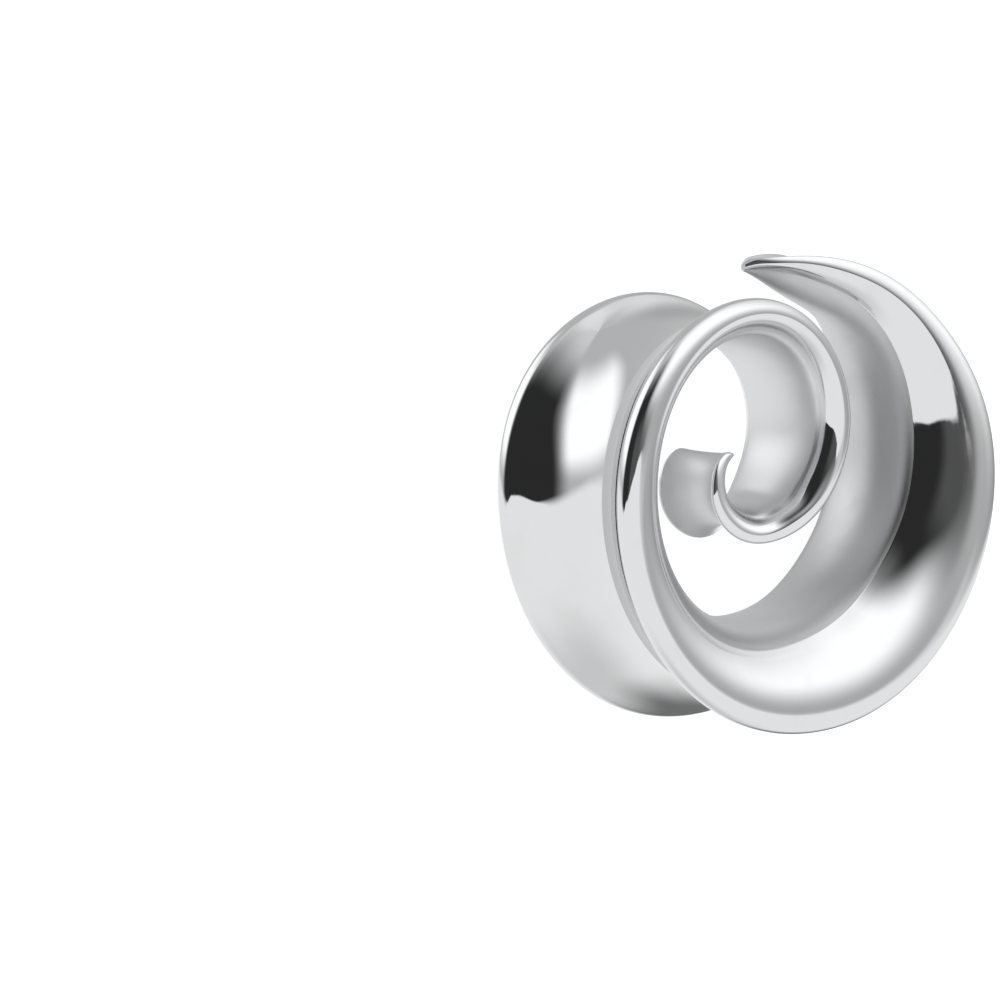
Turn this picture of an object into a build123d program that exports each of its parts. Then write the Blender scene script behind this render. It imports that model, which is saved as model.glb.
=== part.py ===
from build123d import *
import math
import os
from collections import namedtuple

# A spiral ear taper: one solid bar of polished steel, wound twice around the pole of its spiral.
# It starts in a narrow tip at the top, swells into the broad saddle that the lobe rests on,
# and runs on inwards into a small curl. The spiral lies in the XY plane and +Z is its axis,
# the way it goes through the lobe. The origin is the pole, half way across the bar.
# Lengths are millimetres, angles are degrees.

rim_radius = 15.6      # pole to the outer rim at the widest part of the outer coil
half_width = 6.0       # half of the bar's width along the axis, at the broad part
wall_depth = 5.6       # rim to crease, measured towards the pole, at the deepest part
inner_bulge = 1.3      # how far the inner wall swells towards the pole between its creases
waist_depth = 2.1      # how far the saddle sinks below its two rims
lip_radius = 0.3       # rounding of the thin lip where the saddle meets the crown
tip_angle = 87.0       # direction of the tip, from +X towards +Y; the bar winds clockwise from it
face_pull = 0.46       # how early the bell-shaped face bends down, 0 at the crease, 1 at the crown
wall_lead = 0.45       # share of the bulge that the inner wall runs in before it turns down
wall_dip = 0.30        # share of the bulge that it sinks over that lead
wall_flat = 0.50       # share of the crease height over which the inner wall stands nearly straight

# One row for each section along the bar. Each length is a share of the size it follows:
# rim of rim_radius, width of half_width, depth of wall_depth, bulge of inner_bulge,
# waist of waist_depth, lip of lip_radius. Crease and drop are shares of the row's own
# half width, and ridge is a share of the row's own depth.
Section = namedtuple("Section", "travel rim width depth crease ridge drop bulge waist lip")
sections = [
    Section(0, 0.813, 0.030, 0.060, 0.60, 0.45, 0.12, 0.05, 0.03, 0.08),
    Section(2, 0.830, 0.080, 0.095, 0.62, 0.45, 0.12, 0.20, 0.08, 0.15),
    Section(6, 0.848, 0.170, 0.135, 0.64, 0.44, 0.11, 0.45, 0.18, 0.30),
    Section(14, 0.880, 0.300, 0.205, 0.67, 0.38, 0.10, 0.85, 0.30, 0.50),
    Section(24, 0.924, 0.440, 0.310, 0.68, 0.37, 0.09, 1.00, 0.44, 0.70),
    Section(36, 0.966, 0.590, 0.400, 0.67, 0.34, 0.08, 0.93, 0.58, 0.90),
    Section(50, 0.990, 0.745, 0.520, 0.65, 0.28, 0.07, 0.80, 0.76, 1.00),
    Section(70, 1.004, 0.930, 0.720, 0.60, 0.24, 0.06, 0.70, 0.97, 1.00),
    Section(95, 0.998, 1.010, 0.875, 0.58, 0.23, 0.06, 0.66, 1.03, 1.00),
    Section(120, 0.983, 1.000, 0.980, 0.59, 0.22, 0.06, 0.74, 1.02, 1.00),
    Section(145, 0.960, 0.995, 0.980, 0.62, 0.23, 0.07, 0.94, 1.02, 1.10),
    Section(170, 0.931, 1.000, 0.925, 0.68, 0.24, 0.08, 1.08, 1.00, 1.50),
    Section(200, 0.908, 1.000, 0.755, 0.78, 0.25, 0.10, 1.42, 0.98, 2.30),
    Section(230, 0.880, 1.000, 0.570, 0.86, 0.29, 0.11, 1.80, 0.98, 3.00),
    Section(260, 0.859, 1.005, 0.475, 0.89, 0.36, 0.11, 1.60, 0.98, 3.40),
    Section(290, 0.846, 1.020, 0.430, 0.87, 0.40, 0.12, 1.08, 0.98, 3.40),
    Section(320, 0.794, 0.965, 0.380, 0.83, 0.42, 0.12, 0.78, 0.92, 3.00),
    Section(350, 0.702, 0.865, 0.330, 0.79, 0.42, 0.11, 0.74, 0.85, 2.40),
    Section(380, 0.581, 0.750, 0.325, 0.76, 0.41, 0.10, 0.70, 0.75, 1.80),
    Section(410, 0.452, 0.690, 0.397, 0.75, 0.39, 0.09, 0.65, 0.69, 1.30),
    Section(440, 0.333, 0.665, 0.392, 0.73, 0.38, 0.10, 0.62, 0.66, 1.10),
    Section(470, 0.258, 0.640, 0.302, 0.73, 0.38, 0.10, 0.60, 0.64, 1.00),
    Section(500, 0.227, 0.580, 0.265, 0.74, 0.37, 0.10, 0.58, 0.58, 0.90),
    Section(530, 0.223, 0.500, 0.250, 0.73, 0.37, 0.10, 0.56, 0.50, 0.80),
    Section(560, 0.232, 0.460, 0.275, 0.74, 0.36, 0.10, 0.52, 0.46, 0.75),
    Section(590, 0.245, 0.445, 0.275, 0.78, 0.36, 0.10, 0.46, 0.43, 0.70),
    Section(615, 0.249, 0.435, 0.225, 0.84, 0.35, 0.10, 0.38, 0.38, 0.65),
    Section(635, 0.241, 0.420, 0.175, 0.89, 0.35, 0.10, 0.30, 0.31, 0.60),
    Section(649, 0.231, 0.400, 0.145, 0.92, 0.36, 0.08, 0.22, 0.25, 0.50),
    Section(659, 0.215, 0.380, 0.120, 0.93, 0.38, 0.07, 0.17, 0.20, 0.40),
    Section(666, 0.197, 0.365, 0.090, 0.94, 0.42, 0.06, 0.12, 0.14, 0.30),
    Section(670, 0.176, 0.350, 0.045, 0.95, 0.45, 0.05, 0.06, 0.06, 0.15),
]

ellipse_handle = 0.5523  # handle of a Bezier curve that draws a quarter of an ellipse


def section_wire(row):
    """The closed outline of the bar at one row, in the plane through the axis at its angle."""
    angle = math.radians(tip_angle - row.travel)
    rim = row.rim * rim_radius
    top = row.width * half_width
    depth = row.depth * wall_depth
    crease = rim - depth
    crease_height = row.crease * top
    inset = row.ridge * depth
    lip_height = top - row.drop * top
    waist = row.waist * waist_depth
    bulge = row.bulge * inner_bulge
    lip = row.lip * lip_radius

    # the saddle arc and the lip arc share one tangent, and end on the rim
    sweep = 2 * math.atan2(waist, lip_height)
    reach = lip_height / math.sin(sweep)
    half_sweep = sweep / 2
    foot_r = rim - lip * (1 - math.cos(sweep))
    foot_z = lip_height - lip * math.sin(sweep)
    lip_r = rim - lip * (math.cos(half_sweep) - math.cos(sweep)) - lip * (1 - math.cos(half_sweep))
    lip_z = lip_height - lip * math.sin(half_sweep)
    waist_r = foot_r - (reach - lip) * (1 - math.cos(sweep))

    def at(r, z):
        return Vector(r * math.cos(angle), r * math.sin(angle), z)

    def crown(side):
        pull = 1 - ellipse_handle
        return [
            at(rim, side * lip_height),
            at(rim, side * (top - pull * (top - lip_height))),
            at(rim - pull * inset, side * top),
            at(rim - inset, side * top),
        ]

    def face(side):
        return [
            at(rim - inset, side * top),
            at(crease + face_pull * (depth - inset), side * top),
            at(crease, side * crease_height),
        ]

    def inner_wall(side):
        return [
            at(crease, side * crease_height),
            at(crease - wall_lead * bulge, side * (crease_height - wall_dip * bulge)),
            at(crease - bulge, side * wall_flat * crease_height),
            at(crease - bulge, 0),
        ]

    edges = [
        Edge.make_three_point_arc(at(foot_r, -foot_z), at(waist_r, 0), at(foot_r, foot_z)),
        Edge.make_three_point_arc(at(foot_r, foot_z), at(lip_r, lip_z), at(rim, lip_height)),
        Edge.make_bezier(*crown(1)),
        Edge.make_bezier(*face(1)),
        Edge.make_bezier(*inner_wall(1)),
        Edge.make_bezier(*reversed(inner_wall(-1))),
        Edge.make_bezier(*reversed(face(-1))),
        Edge.make_bezier(*reversed(crown(-1))),
        Edge.make_three_point_arc(at(rim, -lip_height), at(lip_r, -lip_z), at(foot_r, -foot_z)),
    ]
    return Wire(edges)


spiral_taper = Solid.make_loft([section_wire(row) for row in sections])
spiral_taper.label = "spiral_taper"

os.makedirs("parts", exist_ok=True)
export_step(spiral_taper, "parts/spiral_taper.step")
print("volume", spiral_taper.volume, "valid", spiral_taper.is_valid)
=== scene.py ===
import math
import bmesh
import bpy
import numpy as np
from mathutils import Matrix, Vector


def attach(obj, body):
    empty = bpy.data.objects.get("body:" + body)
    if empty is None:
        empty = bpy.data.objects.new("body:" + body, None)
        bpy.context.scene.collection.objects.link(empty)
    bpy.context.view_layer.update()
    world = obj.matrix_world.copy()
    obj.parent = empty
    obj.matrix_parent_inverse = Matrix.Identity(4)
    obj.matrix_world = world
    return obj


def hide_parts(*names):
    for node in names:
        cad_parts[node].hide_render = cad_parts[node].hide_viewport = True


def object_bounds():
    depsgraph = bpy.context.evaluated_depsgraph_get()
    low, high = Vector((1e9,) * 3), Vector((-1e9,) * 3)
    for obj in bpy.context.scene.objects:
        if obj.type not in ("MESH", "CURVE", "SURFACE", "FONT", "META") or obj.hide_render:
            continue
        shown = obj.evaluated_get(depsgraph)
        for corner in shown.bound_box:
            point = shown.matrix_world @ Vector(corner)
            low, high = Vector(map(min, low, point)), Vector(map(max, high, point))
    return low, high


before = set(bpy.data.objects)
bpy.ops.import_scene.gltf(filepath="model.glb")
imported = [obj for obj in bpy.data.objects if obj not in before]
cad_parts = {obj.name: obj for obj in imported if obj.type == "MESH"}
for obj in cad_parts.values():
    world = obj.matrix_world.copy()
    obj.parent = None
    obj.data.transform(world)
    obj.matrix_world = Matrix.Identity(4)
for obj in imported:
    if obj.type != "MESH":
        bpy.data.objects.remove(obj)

cadBox = [list(corner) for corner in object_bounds()]
print("frame loaded, box", cadBox)


# small helpers for building node trees

def feed(tree, slot, value):
    # a socket is linked, anything else becomes the slot's own value
    if isinstance(value, bpy.types.NodeSocket):
        tree.links.new(value, slot)
    elif value is not None:
        slot.default_value = value


def put(tree, kind, settings=None, inputs=None):
    node = tree.nodes.new(kind)
    for name, value in (settings or {}).items():
        setattr(node, name, value)
    for name, value in (inputs or {}).items():
        feed(tree, node.inputs[name], value)
    return node


def startTree(name, kind, inputs, output):
    # inputs are (name, socket kind, default), the output is (name, socket kind)
    tree = bpy.data.node_groups.new(name, kind)
    for label, socketKind, default in inputs:
        socket = tree.interface.new_socket(label, in_out="INPUT",
                                           socket_type="NodeSocket" + socketKind)
        if default is not None:
            socket.default_value = default
    tree.interface.new_socket(output[0], in_out="OUTPUT", socket_type="NodeSocket" + output[1])
    given = tree.nodes.new("NodeGroupInput").outputs
    return tree, given, tree.nodes.new("NodeGroupOutput").inputs[0]


def calc(tree, operation, *values):
    node = put(tree, "ShaderNodeMath", {"operation": operation})
    for slot, value in zip(node.inputs, values):
        feed(tree, slot, value)
    return node.outputs[0]


def total(tree, first, *others):
    for other in others:
        first = calc(tree, "ADD", first, other)
    return first


def product(tree, first, *others):
    for other in others:
        first = calc(tree, "MULTIPLY", first, other)
    return first


def awayFrom(tree, value, middle):
    return calc(tree, "ABSOLUTE", calc(tree, "SUBTRACT", value, middle))


def vecCalc(tree, operation, *values):
    node = put(tree, "ShaderNodeVectorMath", {"operation": operation})
    for slot, value in zip(node.inputs, values):
        feed(tree, slot, value)
    return node.outputs[0]


def scaleBy(tree, vector, factor):
    return put(tree, "ShaderNodeVectorMath", {"operation": "SCALE"},
               {"Vector": vector, "Scale": factor}).outputs[0]


def makeVector(tree, x, y, z):
    return put(tree, "ShaderNodeCombineXYZ", None, {"X": x, "Y": y, "Z": z}).outputs[0]


def fade(tree, value, low, high, lowResult=0.0, highResult=1.0):
    # smooth step from lowResult to highResult while value goes from low to high
    return put(tree, "ShaderNodeMapRange", {"interpolation_type": "SMOOTHSTEP"},
               {"Value": value, "From Min": low, "From Max": high,
                "To Min": lowResult, "To Max": highResult}).outputs[0]


def blend(tree, factor, low, high):
    return put(tree, "ShaderNodeMix", {"data_type": "FLOAT"},
               {0: factor, 2: low, 3: high}).outputs[0]


def blendColor(tree, factor, low, high):
    return put(tree, "ShaderNodeMix", {"data_type": "RGBA"},
               {0: factor, 6: (*low, 1.0), 7: (*high, 1.0)}).outputs[2]


# the steel bar: a spiral whose section changes along it, with the same sizes as the solid

barSizes = {
    "Rim Radius": 0.0156,   # metres, down to the lip's radius
    "Half Width": 0.0060,
    "Wall Depth": 0.0056,
    "Inner Bulge": 0.0013,
    "Waist Depth": 0.0021,
    "Lip Radius": 0.0003,
    "Tip Angle": 87.0,      # degrees from +X towards +Y, the bar winds clockwise from it
    "Face Pull": 0.46,      # how early the face bends down, 0 at the crease, 1 at the crown
    "Wall Lead": 0.45,      # the inner wall's curve, in shares of its bulge and crease height
    "Wall Dip": 0.30,
    "Wall Flat": 0.50,
    "Fold Round": 0.0001,   # metres, softens the crease between face and inner wall
}
barGrid = {
    "stationStep": 1.4,     # degrees between stations along the bar
    "endStep": 0.5,         # the same within endTravel of either end
    "endTravel": 16.0,
    "saddleSteps": 12,
    "lipSteps": 4,
    "crownSteps": 10,
    "faceSteps": 12,
    "foldSteps": 3,
    "wallSteps": 12,
    "mergeDistance": 2e-7,      # metres
    "metresPerRadian": 0.012,   # distance along the bar in the finish's own space
}
ellipseHandle = 0.5523      # handle of a cubic that draws a quarter of an ellipse
curvePoints = ("Start", "First Handle", "Second Handle", "End")
# one row per section: travel in degrees, then shares of the size that each column follows
barColumns = ["travel", "rim", "width", "depth", "crease", "ridge", "drop", "bulge", "waist", "lip"]
barRows = [
    (0, 0.813, 0.030, 0.060, 0.60, 0.45, 0.12, 0.05, 0.03, 0.08),    # the tip
    (2, 0.830, 0.080, 0.095, 0.62, 0.45, 0.12, 0.20, 0.08, 0.15),
    (6, 0.848, 0.170, 0.135, 0.64, 0.44, 0.11, 0.45, 0.18, 0.30),
    (14, 0.880, 0.300, 0.205, 0.67, 0.38, 0.10, 0.85, 0.30, 0.50),
    (24, 0.924, 0.440, 0.310, 0.68, 0.37, 0.09, 1.00, 0.44, 0.70),
    (36, 0.966, 0.590, 0.400, 0.67, 0.34, 0.08, 0.93, 0.58, 0.90),
    (50, 0.990, 0.745, 0.520, 0.65, 0.28, 0.07, 0.80, 0.76, 1.00),
    (70, 1.004, 0.930, 0.720, 0.60, 0.24, 0.06, 0.70, 0.97, 1.00),
    (95, 0.998, 1.010, 0.875, 0.58, 0.23, 0.06, 0.66, 1.03, 1.00),
    (120, 0.983, 1.000, 0.980, 0.59, 0.22, 0.06, 0.74, 1.02, 1.00),   # the broad saddle
    (145, 0.960, 0.995, 0.980, 0.62, 0.23, 0.07, 0.94, 1.02, 1.10),
    (170, 0.931, 1.000, 0.925, 0.68, 0.24, 0.08, 1.08, 1.00, 1.50),
    (200, 0.908, 1.000, 0.755, 0.78, 0.25, 0.10, 1.42, 0.98, 2.30),
    (230, 0.880, 1.000, 0.570, 0.86, 0.29, 0.11, 1.80, 0.98, 3.00),
    (260, 0.859, 1.005, 0.475, 0.89, 0.36, 0.11, 1.60, 0.98, 3.40),
    (290, 0.846, 1.020, 0.430, 0.87, 0.40, 0.12, 1.08, 0.98, 3.40),
    (320, 0.794, 0.965, 0.380, 0.83, 0.42, 0.12, 0.78, 0.92, 3.00),
    (350, 0.702, 0.865, 0.330, 0.79, 0.42, 0.11, 0.74, 0.85, 2.40),
    (380, 0.581, 0.750, 0.325, 0.76, 0.41, 0.10, 0.70, 0.75, 1.80),
    (410, 0.452, 0.690, 0.397, 0.75, 0.39, 0.09, 0.65, 0.69, 1.30),
    (440, 0.333, 0.665, 0.392, 0.73, 0.38, 0.10, 0.62, 0.66, 1.10),
    (470, 0.258, 0.640, 0.302, 0.73, 0.38, 0.10, 0.60, 0.64, 1.00),
    (500, 0.227, 0.580, 0.265, 0.74, 0.37, 0.10, 0.58, 0.58, 0.90),
    (530, 0.223, 0.500, 0.250, 0.73, 0.37, 0.10, 0.56, 0.50, 0.80),
    (560, 0.232, 0.460, 0.275, 0.74, 0.36, 0.10, 0.52, 0.46, 0.75),
    (590, 0.245, 0.445, 0.275, 0.78, 0.36, 0.10, 0.46, 0.43, 0.70),
    (615, 0.249, 0.435, 0.225, 0.84, 0.35, 0.10, 0.38, 0.38, 0.65),
    (635, 0.241, 0.420, 0.175, 0.89, 0.35, 0.10, 0.30, 0.31, 0.60),
    (649, 0.231, 0.400, 0.145, 0.92, 0.36, 0.08, 0.22, 0.25, 0.50),
    (659, 0.215, 0.380, 0.120, 0.93, 0.38, 0.07, 0.17, 0.20, 0.40),
    (666, 0.197, 0.365, 0.090, 0.94, 0.42, 0.06, 0.12, 0.14, 0.30),
    (670, 0.176, 0.350, 0.045, 0.95, 0.45, 0.05, 0.06, 0.06, 0.15),   # the curl's end
]


def smoothThrough(knots, values, places):
    # natural cubic through the rows, so reflections run on without a kink
    gaps = np.diff(knots)
    count = len(knots)
    system = np.eye(count)
    target = np.zeros((count, values.shape[1]))
    slopes = np.diff(values, axis=0) / gaps[:, None]
    for i in range(1, count - 1):
        system[i, i - 1:i + 2] = gaps[i - 1], 2 * (gaps[i - 1] + gaps[i]), gaps[i]
        target[i] = 6 * (slopes[i] - slopes[i - 1])
    bends = np.linalg.solve(system, target)
    i = np.clip(np.searchsorted(knots, places, side="right") - 1, 0, count - 2)
    gap = gaps[i][:, None]
    a = (knots[i + 1] - places)[:, None]
    b = (places - knots[i])[:, None]
    return ((bends[i] * a ** 3 + bends[i + 1] * b ** 3) / (6 * gap)
            + (values[i] / gap - bends[i] * gap / 6) * a
            + (values[i + 1] / gap - bends[i + 1] * gap / 6) * b)


def makeGuide():
    # one vertex per station, carrying the row values between the table's sections
    table = np.array(barRows, dtype=float)
    last, near = table[-1, 0], barGrid["endTravel"]
    endCount = int(near / barGrid["endStep"])
    middleCount = int((last - 2 * near) / barGrid["stationStep"])
    places = np.concatenate([
        np.linspace(0, near, endCount, endpoint=False),
        np.linspace(near, last - near, middleCount, endpoint=False),
        np.linspace(last - near, last, endCount + 1),
    ])
    shares = smoothThrough(table[:, 0], table[:, 1:], places)
    angles = np.radians(barSizes["Tip Angle"] - places)
    rims = shares[:, 0] * barSizes["Rim Radius"]
    mesh = bpy.data.meshes.new("barGuide")
    mesh.from_pydata([(r * math.cos(a), r * math.sin(a), 0) for r, a in zip(rims, angles)],
                     [(i, i + 1) for i in range(len(places) - 1)], [])
    for name, column in zip(barColumns, np.column_stack([places, shares]).T):
        mesh.attributes.new(name, "FLOAT", "POINT").data.foreach_set(
            "value", np.ascontiguousarray(column, dtype=np.float32))
    return mesh


def makeStripGroup():
    # a strip of the bar's skin: one cubic per station, drawn in the section's plane
    inputs = [("Guide", "Geometry", None)]
    inputs += [(name, "Vector", None) for name in curvePoints]
    inputs += [(name, "Float", None) for name in ("Angle", "Rim", "Strip Number")]
    inputs += [("Steps", "Int", None)]
    group, given, result = startTree("barStrip", "GeometryNodeTree", inputs, ("Strip", "Geometry"))

    stations = put(group, "GeometryNodeAttributeDomainSize", {"component": "MESH"},
                   {"Geometry": given["Guide"]}).outputs["Point Count"]
    across = calc(group, "ADD", given["Steps"], 1)
    grid = put(group, "GeometryNodeMeshGrid", None,
               {"Size X": 1.0, "Size Y": 1.0, "Vertices X": stations, "Vertices Y": across})
    index = put(group, "GeometryNodeInputIndex").outputs[0]
    # the quarter keeps the division clear of rounding just under a whole number
    nudged = calc(group, "ADD", index, 0.25)
    station = calc(group, "FLOOR", calc(group, "DIVIDE", nudged, across))
    place = calc(group, "SUBTRACT", index, product(group, station, across))
    t = calc(group, "DIVIDE", place, given["Steps"])
    rest = calc(group, "SUBTRACT", 1.0, t)

    def atStation(value, kind):
        return put(group, "GeometryNodeSampleIndex", {"data_type": kind, "domain": "POINT"},
                   {"Geometry": given["Guide"], "Value": value, "Index": station}).outputs[0]

    weights = [
        calc(group, "POWER", rest, 3.0),
        product(group, t, 3.0, calc(group, "POWER", rest, 2.0)),
        product(group, rest, 3.0, calc(group, "POWER", t, 2.0)),
        calc(group, "POWER", t, 3.0),
    ]
    flat = None
    for name, weight in zip(curvePoints, weights):
        part = scaleBy(group, atStation(given[name], "FLOAT_VECTOR"), weight)
        flat = part if flat is None else vecCalc(group, "ADD", flat, part)
    section = put(group, "ShaderNodeSeparateXYZ", None, {"Vector": flat}).outputs
    radius, height = section["X"], section["Y"]
    angle = atStation(given["Angle"], "FLOAT")
    rim = atStation(given["Rim"], "FLOAT")
    position = makeVector(group, product(group, radius, calc(group, "COSINE", angle)),
                          product(group, radius, calc(group, "SINE", angle)), height)

    # the bar's own space for the finish: depth under the rim, height, distance along
    barSpace = makeVector(group, calc(group, "SUBTRACT", radius, rim), height,
                          product(group, angle, -barGrid["metresPerRadian"]))
    stripPlace = calc(group, "ADD", given["Strip Number"], t)
    # stored before the grid is bent, since both read the grid's own point order
    stored = put(group, "GeometryNodeStoreNamedAttribute",
                 {"data_type": "FLOAT_VECTOR", "domain": "POINT"},
                 {"Geometry": grid.outputs["Mesh"], "Name": "barSpace", "Value": barSpace})
    stored = put(group, "GeometryNodeStoreNamedAttribute",
                 {"data_type": "FLOAT", "domain": "POINT"},
                 {"Geometry": stored.outputs[0], "Name": "stripPlace", "Value": stripPlace})
    bent = put(group, "GeometryNodeSetPosition", None,
               {"Geometry": stored.outputs[0], "Position": position})
    group.links.new(bent.outputs[0], result)
    return group


def makeBarTree(stripGroup):
    inputs = [("Guide", "Geometry", None)]
    inputs += [(name, "Float", size) for name, size in barSizes.items()]
    inputs += [("Steel", "Material", None)]
    tree, given, result = startTree("spiralBar", "GeometryNodeTree", inputs, ("Bar", "Geometry"))

    def share(column):
        return put(tree, "GeometryNodeInputNamedAttribute", {"data_type": "FLOAT"},
                   {"Name": column}).outputs["Attribute"]

    def add(a, b):
        return calc(tree, "ADD", a, b)

    def sub(a, b):
        return calc(tree, "SUBTRACT", a, b)

    def mul(a, b):
        return calc(tree, "MULTIPLY", a, b)

    def point(radius, height):
        return makeVector(tree, radius, height, 0.0)

    # the sizes of the section at each station
    rim = mul(share("rim"), given["Rim Radius"])
    top = mul(share("width"), given["Half Width"])
    depth = mul(share("depth"), given["Wall Depth"])
    crease = sub(rim, depth)
    creaseHeight = mul(share("crease"), top)
    inset = mul(share("ridge"), depth)
    lipHeight = sub(top, mul(share("drop"), top))
    waist = mul(share("waist"), given["Waist Depth"])
    bulge = mul(share("bulge"), given["Inner Bulge"])
    lip = mul(share("lip"), given["Lip Radius"])
    angle = calc(tree, "RADIANS", sub(given["Tip Angle"], share("travel")))

    # saddle and lip are arcs that share a tangent, and each is one cubic
    sweep = mul(calc(tree, "ARCTAN2", waist, lipHeight), 2.0)
    sine, cosine = calc(tree, "SINE", sweep), calc(tree, "COSINE", sweep)
    saddleRadius = sub(calc(tree, "DIVIDE", lipHeight, sine), lip)
    footRadius = sub(rim, mul(lip, sub(1.0, cosine)))
    footHeight = sub(lipHeight, mul(lip, sine))
    waistRadius = sub(footRadius, mul(saddleRadius, sub(1.0, cosine)))
    arcHandle = mul(calc(tree, "TANGENT", mul(sweep, 0.25)), 4.0 / 3.0)
    saddleHandle, lipHandle = mul(arcHandle, saddleRadius), mul(arcHandle, lip)
    saddle = [
        point(waistRadius, 0.0), point(waistRadius, saddleHandle),
        point(sub(footRadius, mul(saddleHandle, sine)), sub(footHeight, mul(saddleHandle, cosine))),
        point(footRadius, footHeight),
    ]
    lipRound = [
        point(footRadius, footHeight),
        point(add(footRadius, mul(lipHandle, sine)), add(footHeight, mul(lipHandle, cosine))),
        point(rim, sub(lipHeight, lipHandle)), point(rim, lipHeight),
    ]
    # the crown is a quarter of an ellipse, then the face bends down like a bell
    pull = 1.0 - ellipseHandle
    crownEnd = point(sub(rim, inset), top)
    crown = [
        point(rim, lipHeight), point(rim, sub(top, mul(sub(top, lipHeight), pull))),
        point(sub(rim, mul(inset, pull)), top), crownEnd,
    ]
    knee = point(add(crease, mul(given["Face Pull"], sub(depth, inset))), top)
    foldLine = point(crease, creaseHeight)
    wallHandle = point(sub(crease, mul(given["Wall Lead"], bulge)),
                       sub(creaseHeight, mul(given["Wall Dip"], bulge)))
    foldRound = mul(share("lip"), given["Fold Round"])

    def besideFold(target):
        heading = vecCalc(tree, "NORMALIZE", vecCalc(tree, "SUBTRACT", target, foldLine))
        return vecCalc(tree, "ADD", foldLine, scaleBy(tree, heading, foldRound))

    def towards(start, end):
        # two thirds of the way, which makes a cubic of a curve with one handle
        heading = vecCalc(tree, "SUBTRACT", end, start)
        return vecCalc(tree, "ADD", start, scaleBy(tree, heading, 2.0 / 3.0))

    faceEnd, wallStart = besideFold(knee), besideFold(wallHandle)
    face = [crownEnd, towards(crownEnd, knee), towards(faceEnd, knee), faceEnd]
    fold = [faceEnd, towards(faceEnd, foldLine), towards(wallStart, foldLine), wallStart]
    wallRadius = sub(crease, bulge)
    wall = [
        wallStart, wallHandle,
        point(wallRadius, mul(given["Wall Flat"], creaseHeight)), point(wallRadius, 0.0),
    ]

    join = tree.nodes.new("GeometryNodeJoinGeometry")
    strips = ((saddle, "saddleSteps"), (lipRound, "lipSteps"), (crown, "crownSteps"),
              (face, "faceSteps"), (fold, "foldSteps"), (wall, "wallSteps"))
    for number, (points, steps) in enumerate(strips):
        strip = put(tree, "GeometryNodeGroup", {"node_tree": stripGroup}, {
            "Guide": given["Guide"], **dict(zip(curvePoints, points)), "Angle": angle, "Rim": rim,
            "Strip Number": float(number), "Steps": barGrid[steps]})
        tree.links.new(strip.outputs[0], join.inputs[0])

    # the other half of the width is the mirror image
    mirrored = put(tree, "GeometryNodeTransform", None,
                   {"Geometry": join.outputs[0], "Scale": (1.0, 1.0, -1.0)})
    flipped = put(tree, "GeometryNodeFlipFaces", None, {"Mesh": mirrored.outputs[0]})
    both = tree.nodes.new("GeometryNodeJoinGeometry")
    tree.links.new(join.outputs[0], both.inputs[0])
    tree.links.new(flipped.outputs[0], both.inputs[0])
    merged = put(tree, "GeometryNodeMergeByDistance", None,
                 {"Geometry": both.outputs[0], "Distance": barGrid["mergeDistance"]})
    smooth = put(tree, "GeometryNodeSetShadeSmooth", {"domain": "FACE"},
                 {"Geometry": merged.outputs[0], "Shade Smooth": True})
    real = put(tree, "GeometryNodeRealizeInstances", None, {"Geometry": smooth.outputs[0]})
    final = put(tree, "GeometryNodeSetMaterial", None,
                {"Geometry": real.outputs[0], "Material": given["Steel"]})
    tree.links.new(final.outputs[0], result)
    return tree


def closeEnds(mesh):
    # caps the tip and the curl's end, and turns every face outwards
    work = bmesh.new()
    work.from_mesh(mesh)
    openEdges = [edge for edge in work.edges if edge.is_boundary]
    filled = bmesh.ops.holes_fill(work, edges=openEdges, sides=0)["faces"]
    for capFace in filled:
        for edge in capFace.edges:
            edge.smooth = False
    bmesh.ops.triangulate(work, faces=filled)
    bmesh.ops.recalc_face_normals(work, faces=work.faces)
    left = sum(edge.is_boundary or not edge.is_manifold for edge in work.edges)
    work.to_mesh(mesh)
    work.free()
    print("bar closed,", len(mesh.polygons), "faces, open edges", left)


def makeBar(steel):
    guide = bpy.data.objects.new("barGuide", makeGuide())
    bpy.context.scene.collection.objects.link(guide)
    tree = makeBarTree(makeStripGroup())
    modifier = guide.modifiers.new("spiralBar", "NODES")
    modifier.node_group = tree
    keys = {item.name: item.identifier for item in tree.interface.items_tree
            if item.item_type == "SOCKET" and item.in_out == "INPUT"}
    for name, size in barSizes.items():
        modifier[keys[name]] = size
    modifier[keys["Steel"]] = steel
    evaluated = guide.evaluated_get(bpy.context.evaluated_depsgraph_get())
    mesh = bpy.data.meshes.new_from_object(evaluated)
    mesh.name = "spiralBar"
    bpy.data.objects.remove(guide)
    closeEnds(mesh)
    bar = bpy.data.objects.new("spiralBar", mesh)
    bpy.context.scene.collection.objects.link(bar)
    return bar


# finishes

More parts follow.
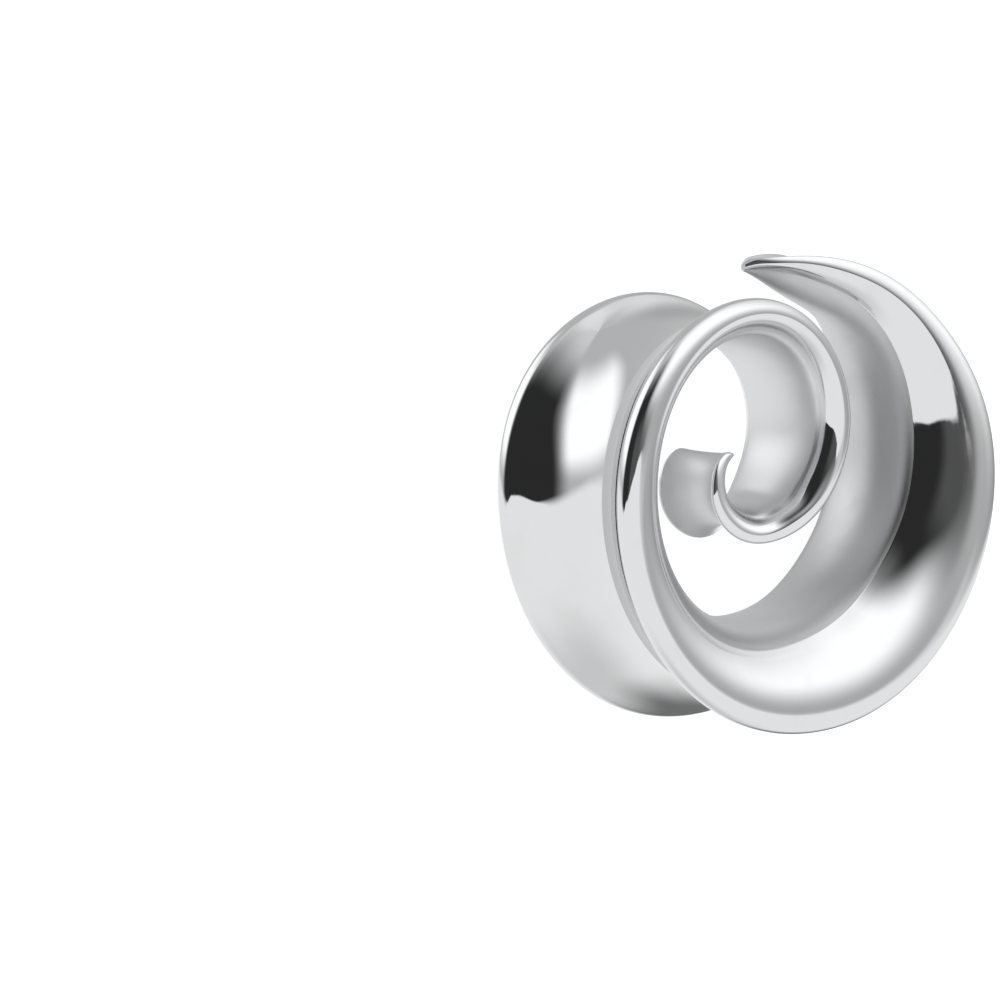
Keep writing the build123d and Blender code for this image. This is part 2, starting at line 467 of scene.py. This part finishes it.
steelFinish = {
    "color": (0.765, 0.770, 0.780),
    "roughness": 0.022,
    "smudgeRoughness": 0.05,        # added where fingers have dulled the polish
    "smudgeScale": 260.0,
    "smudgeRange": (0.48, 0.72),
    "smudgeTint": (0.95, 0.945, 0.93),
    "smudgeShare": 0.5,             # how much of the tint a smudge takes
    "linesPerMetre": 9000.0,        # polish lines
    "lineStretch": 0.03,            # along the bar, as against across it
    "lineRange": (0.42, 0.75),
    "lineRoughness": 0.025,
    "lineHeight": 0.0000012,        # metres
    "lineStrength": 0.15,
    "wearRoughness": 0.06,          # added where rims and folds have worn
    "wallRoughness": 0.38,          # the inner wall is only satin
    "wallPaintedShading": 0.86,               # the satin's tones are painted shade and painted light, which stand in for its reflections: fold and wall darker, foot and the strip before the fold lighter, the curl's saddle darker
    "foldPaintedShade": 0.63,
    "footPaintedLight": 1.26,
    "preFoldPaintedLight": 1.20,
    "curlPaintedShade": 0.91,
    # ranges across the bar, in strips: 1 lip, 2 crown, 3 face, 4 fold, 5 inner wall
    "foldMiddle": 4.5,
    "foldWear": (0.62, 0.3),
    "lipMiddle": 1.6,
    "lipWear": (0.9, 0.1),
    "satinAcross": (4.45, 4.55),
    "footSatinAcross": (3.82, 3.98),
    "curlAcross": (1.25, 0.95),
    # where the painted light before the fold gives way, and where the painted shade past it deepens
    "lightAcross": (4.1, 4.5),
    "deepAcross": (5.0, 5.5),
    # ranges along the bar, in metres of its own space
    "tipEnd": (-0.016, -0.006),
    # where the painted light at the foot of the outer coil comes in
    "footPaintedLightAlong": (0.008, 0.020),
    "footSatinAlong": (0.012, 0.022),
    "outerCoilEnd": (0.052, 0.030),
    "curlAlong": (0.090, 0.096),
}
floorFinish = {
    "color": (0.90, 0.90, 0.90),
    "cloudTint": 0.985,
    "cloudShare": 0.35,
    "cloudScale": 30.0,
    "cloudRange": (0.3, 0.7),
    "roughness": 0.62,
    "specular": 0.15,
}
mottleNoise = {"Detail": 4.0, "Roughness": 0.55, "Distortion": 0.6}
lineNoise = {"Detail": 2.0, "Roughness": 0.5}


def newMaterial(name):
    material = bpy.data.materials.new(name)
    material.use_nodes = True
    tree = material.node_tree
    return material, tree, tree.nodes["Principled BSDF"]


def makeMottleGroup():
    # cloudy mask for smudges on steel and for the unevenness of the floor
    inputs = [("Vector", "Vector", None), ("Scale", "Float", 100.0),
              ("Low", "Float", 0.45), ("High", "Float", 0.7)]
    group, given, result = startTree("mottle", "ShaderNodeTree", inputs, ("Mask", "Float"))
    noise = put(group, "ShaderNodeTexNoise", None,
                {"Vector": given["Vector"], "Scale": given["Scale"], **mottleNoise})
    group.links.new(fade(group, noise.outputs["Fac"], given["Low"], given["High"]), result)
    return group


def placeMottle(tree, group, scale, limits):
    low, high = limits
    where = put(tree, "ShaderNodeTexCoord").outputs["Object"]
    return put(tree, "ShaderNodeGroup", {"node_tree": group},
               {"Vector": where, "Scale": scale, "Low": low, "High": high}).outputs["Mask"]


def makeSteel(mottle):
    material, tree, shader = newMaterial("polishedSteel")
    smudge = placeMottle(tree, mottle, steelFinish["smudgeScale"], steelFinish["smudgeRange"])
    space = put(tree, "ShaderNodeAttribute", {"attribute_name": "barSpace"}).outputs["Vector"]
    parts = put(tree, "ShaderNodeSeparateXYZ", None, {"Vector": space}).outputs
    strip = put(tree, "ShaderNodeAttribute", {"attribute_name": "stripPlace"}).outputs["Fac"]

    def across(name, *results):
        return fade(tree, strip, *steelFinish[name], *results)

    def along(name, *results):
        return fade(tree, parts["Z"], *steelFinish[name], *results)

    # polish lines run along the bar: fine across it, long along it
    stretched = makeVector(tree, parts["X"], parts["Y"],
                           product(tree, parts["Z"], steelFinish["lineStretch"]))
    lines = put(tree, "ShaderNodeTexNoise", None,
                {"Vector": stretched, "Scale": steelFinish["linesPerMetre"],
                 **lineNoise}).outputs["Fac"]
    lineMask = fade(tree, lines, *steelFinish["lineRange"])

    # rims and folds keep a touch more wear than the flats
    fromFold = awayFrom(tree, strip, steelFinish["foldMiddle"])
    fromLip = awayFrom(tree, strip, steelFinish["lipMiddle"])
    edgeWear = product(tree, calc(tree, "MAXIMUM", fade(tree, fromFold, *steelFinish["foldWear"]),
                                  fade(tree, fromLip, *steelFinish["lipWear"])), lineMask)

    # the satin begins at the fold, and a little before it past the foot of the outer coil
    innerWall = blend(tree, along("footSatinAlong"),
                      across("satinAcross"), across("footSatinAcross"))
    # the saddle of the curl is out of reach of the polishing wheel too
    curl = product(tree, along("curlAlong"), across("curlAcross"))
    satin = calc(tree, "MAXIMUM", innerWall, curl)
    rough = total(tree, steelFinish["roughness"],
                  product(tree, smudge, steelFinish["smudgeRoughness"]),
                  product(tree, lineMask, steelFinish["lineRoughness"]),
                  product(tree, edgeWear, steelFinish["wearRoughness"]),
                  product(tree, satin, steelFinish["wallRoughness"]))
    tree.links.new(rough, shader.inputs["Roughness"])

    # painted light and painted shade on the satin, standing in for its reflections: painted light
    # before the fold, painted shade deep past it on the outer coil, then lighter again
    outerCoil = product(tree, along("outerCoilEnd"), along("tipEnd"))
    midPaintedShading = along("footPaintedLightAlong", steelFinish["wallPaintedShading"], steelFinish["footPaintedLight"])
    pastFold = blend(tree, outerCoil, 1.0, across("deepAcross", steelFinish["foldPaintedShade"], midPaintedShading))
    wallPaintedShading = blend(tree, across("lightAcross"), steelFinish["preFoldPaintedLight"], pastFold)
    paintedShading = blend(tree, innerWall, 1.0, wallPaintedShading)
    # the curl's saddle gets a painted shade, a darker colour standing in for its reflections
    paintedShading = blend(tree, curl, paintedShading, steelFinish["curlPaintedShade"])
    base = steelFinish["color"]
    dulled = [value * tint for value, tint in zip(base, steelFinish["smudgeTint"])]
    color = blendColor(tree, product(tree, smudge, steelFinish["smudgeShare"]), base, dulled)
    # the base colour carries the painted light and painted shade
    tree.links.new(scaleBy(tree, color, paintedShading), shader.inputs["Base Color"])
    shader.inputs["Metallic"].default_value = 1.0
    bump = put(tree, "ShaderNodeBump", None,
               {"Height": product(tree, lines, steelFinish["lineHeight"]),
                "Strength": steelFinish["lineStrength"], "Distance": 1.0})
    tree.links.new(bump.outputs["Normal"], shader.inputs["Normal"])
    return material


def makeFloorFinish(mottle):
    material, tree, shader = newMaterial("paleFloor")
    cloud = placeMottle(tree, mottle, floorFinish["cloudScale"], floorFinish["cloudRange"])
    base = floorFinish["color"]
    clouded = [value * floorFinish["cloudTint"] for value in base]
    color = blendColor(tree, product(tree, cloud, floorFinish["cloudShare"]), base, clouded)
    tree.links.new(color, shader.inputs["Base Color"])
    shader.inputs["Roughness"].default_value = floorFinish["roughness"]
    shader.inputs["Specular IOR Level"].default_value = floorFinish["specular"]
    return material


# the studio: a floor, a lamp for it, and the room that the steel mirrors

studio = {
    "floorHalf": 3.0,           # metres
    "floorLamp": 3.9,           # lifts the floor to white without a shadow
    "lampSpread": 120.0,        # degrees
    "lampHeight": 0.5,          # metres
    "evenGlow": 0.12,           # light on the floor that the object can shade
    "backdropGlow": 0.98,
}
# lon is degrees from +Z towards +X, lat is degrees towards +Y, and a range is written as
# from, to, and where they aren't 0 and 1, the values at its two ends
room = {
    "tableGlow": 0.97,          # the pale table side, -Y
    "tableEdge": [              # its far edge: lon from, lon to, climb, all in degrees
        (-181, -180, 1.0), (-150, -90, -9.3), (-84, -60, 3.2), (-56, -10, 5.1), (-12, -2, 1.9),
        (2, 40, -9.5), (40, 58, -4.5), (66, 90, 3.0), (110, 175, 10.1),
    ],
    "edgeBlur": (-5.0, 12.0, 0.5, 1.2),         # half the edge's soft width, and what adds to it
    "edgeBlurLeft": (-80.0, -104.0, 0.0, 2.6),
    "edgeBlurRight": (8.0, 30.0, 0.0, 2.0),
    "tableFoot": (-86.0, -46.0, 0.74, 1.0),
    "shadeDepth": 0.80,         # a darker patch of the table, behind on the right
    "shadeLon": 114.0,
    "shadeSides": (42.0, 4.0),
    "shadeTop": (-16.0, -40.0),
    "shadeFoot": (-84.0, -50.0),
    "boxGlow": 1.30,            # the big soft box, up and to the right
    "boxFoot": 0.50,            # its glow low down on the right
    "boxLean": (4.0, 36.0, 6.0, -15.0),         # lon of its left edge, by lat
    "boxBlur": (20.0, 21.0),
    "boxNearRamp": (-10.0, 32.0),               # over the table's edge
    "boxFarRamp": (4.0, 36.0),
    "boxFar": (4.0, 34.0),
    "boxTop": (55.0, 88.0, 1.0, 0.66),
    "boxRight": (45.0, 100.0, 1.0, 0.68),
    "darkGlow": 0.028,          # the dark room round the camera, with a paler patch
    "patchLon": (-52.0, -36.0),
    "patchLat": (34.0, 12.0, 0.0, 0.07),
    "topGlow": 0.76,            # the grey ceiling
    "ceiling": (41.0, 84.0),
    "wallGlow": 0.56,           # the grey wall behind
    "wallLeft": (0.0, 42.0, -105.0, -92.5),     # lon of its left corner, by lat
    "wallBlur": (8.0, 15.0),
    "wallRight": (98.0, 138.0),
    "leftBoxGlow": 1.30,        # the second soft box
    "leftBoxLon": -137.0,
    "leftBoxSides": (45.0, 24.0),
    "leftBoxFoot": (0.0, 15.0),
    "leftBoxTop": (71.0, 44.0),
    "againGlow": 0.80,          # what a reflection of a reflection sees
    "againDepth": 2.5,
}


def makeFloor(finish):
    half, level = studio["floorHalf"], cadBox[0][2]
    mesh = bpy.data.meshes.new("floor")
    mesh.from_pydata([(-half, -half, level), (half, -half, level), (half, half, level),
                      (-half, half, level)], [], [(0, 1, 2, 3)])
    mesh.materials.append(finish)
    floor = bpy.data.objects.new("floor", mesh)
    bpy.context.scene.collection.objects.link(floor)
    floor.visible_glossy = False    # the steel mirrors the room, as a piece held clear would


def makeFloorLamp():
    lamp = bpy.data.lights.new("floorLamp", "SUN")
    lamp.energy = studio["floorLamp"]
    lamp.angle = math.radians(studio["lampSpread"])
    lamp.specular_factor = 0.0
    lamp.use_shadow = False
    holder = bpy.data.objects.new("floorLamp", lamp)
    holder.location = (0, 0, studio["lampHeight"])
    holder.visible_glossy = False
    bpy.context.scene.collection.objects.link(holder)


def makeRoomGlow(tree):
    heading = put(tree, "ShaderNodeTexCoord").outputs["Generated"]
    xyz = put(tree, "ShaderNodeSeparateXYZ", None, {"Vector": heading}).outputs
    lon = calc(tree, "DEGREES", calc(tree, "ARCTAN2", xyz["X"], xyz["Z"]))
    lat = calc(tree, "DEGREES", calc(tree, "ARCSINE", xyz["Y"]))

    def byLon(name, *results):
        return fade(tree, lon, *room[name], *results)

    def byLat(name, *results):
        return fade(tree, lat, *room[name], *results)

    # the table's far edge rises and falls with the heading
    tableEdge = 0.0
    for start, end, climb in room["tableEdge"]:
        tableEdge = calc(tree, "ADD", tableEdge, fade(tree, lon, start, end, 0.0, climb))
    above = calc(tree, "SUBTRACT", lat, tableEdge)
    blur = total(tree, byLon("edgeBlur"), byLon("edgeBlurLeft"), byLon("edgeBlurRight"))
    table = fade(tree, above, product(tree, blur, -1.0), blur, 1.0, 0.0)
    shade = product(tree, fade(tree, awayFrom(tree, lon, room["shadeLon"]), *room["shadeSides"]),
                    byLat("shadeTop"), byLat("shadeFoot"), room["shadeDepth"])
    tableGlow = product(tree, room["tableGlow"], byLat("tableFoot"),
                        calc(tree, "SUBTRACT", 1.0, shade))

    # big soft box with a wide soft left edge that leans with height
    boxEdge = byLat("boxLean")
    boxMask = fade(tree, lon, calc(tree, "SUBTRACT", boxEdge, room["boxBlur"][0]),
                   calc(tree, "ADD", boxEdge, room["boxBlur"][1]))
    boxMask = product(tree, boxMask, byLon("wallRight", 1.0, 0.0))
    nearRamp = fade(tree, above, *room["boxNearRamp"], 0.0, room["boxGlow"])
    farRamp = fade(tree, above, *room["boxFarRamp"], room["boxFoot"], room["boxGlow"])
    boxGlow = product(tree, blend(tree, byLon("boxFar"), nearRamp, farRamp),
                      byLat("boxTop"), byLon("boxRight"))

    # dark room round the camera, with a paler patch, and a grey ceiling
    dark = calc(tree, "ADD", product(tree, byLon("patchLon"), byLat("patchLat")), room["darkGlow"])
    dark = blend(tree, byLat("ceiling"), dark, room["topGlow"])
    upper = blend(tree, boxMask, dark, boxGlow)

    # the wall behind is grey, with a second soft box on the left
    leftBox = product(
        tree, fade(tree, awayFrom(tree, lon, room["leftBoxLon"]), *room["leftBoxSides"]),
        byLat("leftBoxFoot"), byLat("leftBoxTop"))
    wallGlow = blend(tree, leftBox, room["wallGlow"], room["leftBoxGlow"])
    corner = byLat("wallLeft")
    behind = fade(tree, lon, calc(tree, "ADD", corner, room["wallBlur"][0]),
                  calc(tree, "SUBTRACT", corner, room["wallBlur"][1]))
    behind = calc(tree, "MAXIMUM", behind, byLon("wallRight"))
    upper = blend(tree, behind, upper, wallGlow)
    return blend(tree, table, upper, tableGlow)


def makeWorld():
    world = bpy.data.worlds.new("studioRoom")
    bpy.context.scene.world = world
    world.use_nodes = True
    tree = world.node_tree
    tree.nodes.clear()

    # only reflections see the room, and reflections of reflections an even grey;
    # the camera sees a plain backdrop, the floor an even light
    paths = put(tree, "ShaderNodeLightPath").outputs
    again = calc(tree, "GREATER_THAN", paths["Ray Depth"], room["againDepth"])
    glow = blend(tree, again, makeRoomGlow(tree), room["againGlow"])
    mirrored = put(tree, "ShaderNodeBackground", None, {"Strength": glow, "Color": (1, 1, 1, 1)})
    plain = blend(tree, paths["Is Camera Ray"], studio["evenGlow"], studio["backdropGlow"])
    backdrop = put(tree, "ShaderNodeBackground", None, {"Strength": plain, "Color": (1, 1, 1, 1)})
    mix = put(tree, "ShaderNodeMixShader", None,
              {0: paths["Is Glossy Ray"], 1: backdrop.outputs[0], 2: mirrored.outputs[0]})
    out = tree.nodes.new("ShaderNodeOutputWorld")
    tree.links.new(mix.outputs[0], out.inputs["Surface"])


cameraFit = {
    "turn": 41.543,             # degrees left of the spiral's axis
    "rise": 4.736,              # degrees towards +Y
    "distance": 0.3451,         # metres from the pole
    "sensor": 36.0,             # millimetres, as is the lens
    "lens": 211.83,
    "focalPixels": 5884.3,      # the lens in pixels of the picture
    "poleRight": 234.7,         # pixels from the picture's middle to the pole
    "poleUp": 19.15,
    "clip": (0.01, 20.0),       # metres
}


def makeCamera():
    turn, rise = math.radians(cameraFit["turn"]), math.radians(cameraFit["rise"])
    back = Vector((-math.sin(turn) * math.cos(rise), math.sin(rise),
                   math.cos(turn) * math.cos(rise)))
    right = Vector((math.cos(turn), 0, math.sin(turn)))
    up = back.cross(right)
    poleRight = cameraFit["poleRight"] / cameraFit["focalPixels"]
    poleUp = cameraFit["poleUp"] / cameraFit["focalPixels"]
    away = (back + right * poleRight + up * poleUp).normalized()
    side = (right - away * right.dot(away)).normalized()
    lens = bpy.data.cameras.new("camera")
    lens.sensor_width = cameraFit["sensor"]
    lens.lens = cameraFit["lens"]
    lens.clip_start, lens.clip_end = cameraFit["clip"]
    camera = bpy.data.objects.new("camera", lens)
    camera.matrix_world = (Matrix.Translation(back * cameraFit["distance"])
                           @ Matrix((side, away.cross(side), away)).transposed().to_4x4())
    bpy.context.scene.collection.objects.link(camera)
    bpy.context.scene.camera = camera


makeCamera()
mottleGroup = makeMottleGroup()
steelMaterial = makeSteel(mottleGroup)
print("finishes made")
spiralBar = makeBar(steelMaterial)
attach(spiralBar, "root")
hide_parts("spiral_taper")
makeFloor(makeFloorFinish(mottleGroup))
makeWorld()
makeFloorLamp()
bpy.context.scene.view_settings.view_transform = "Standard"
print("studio made")
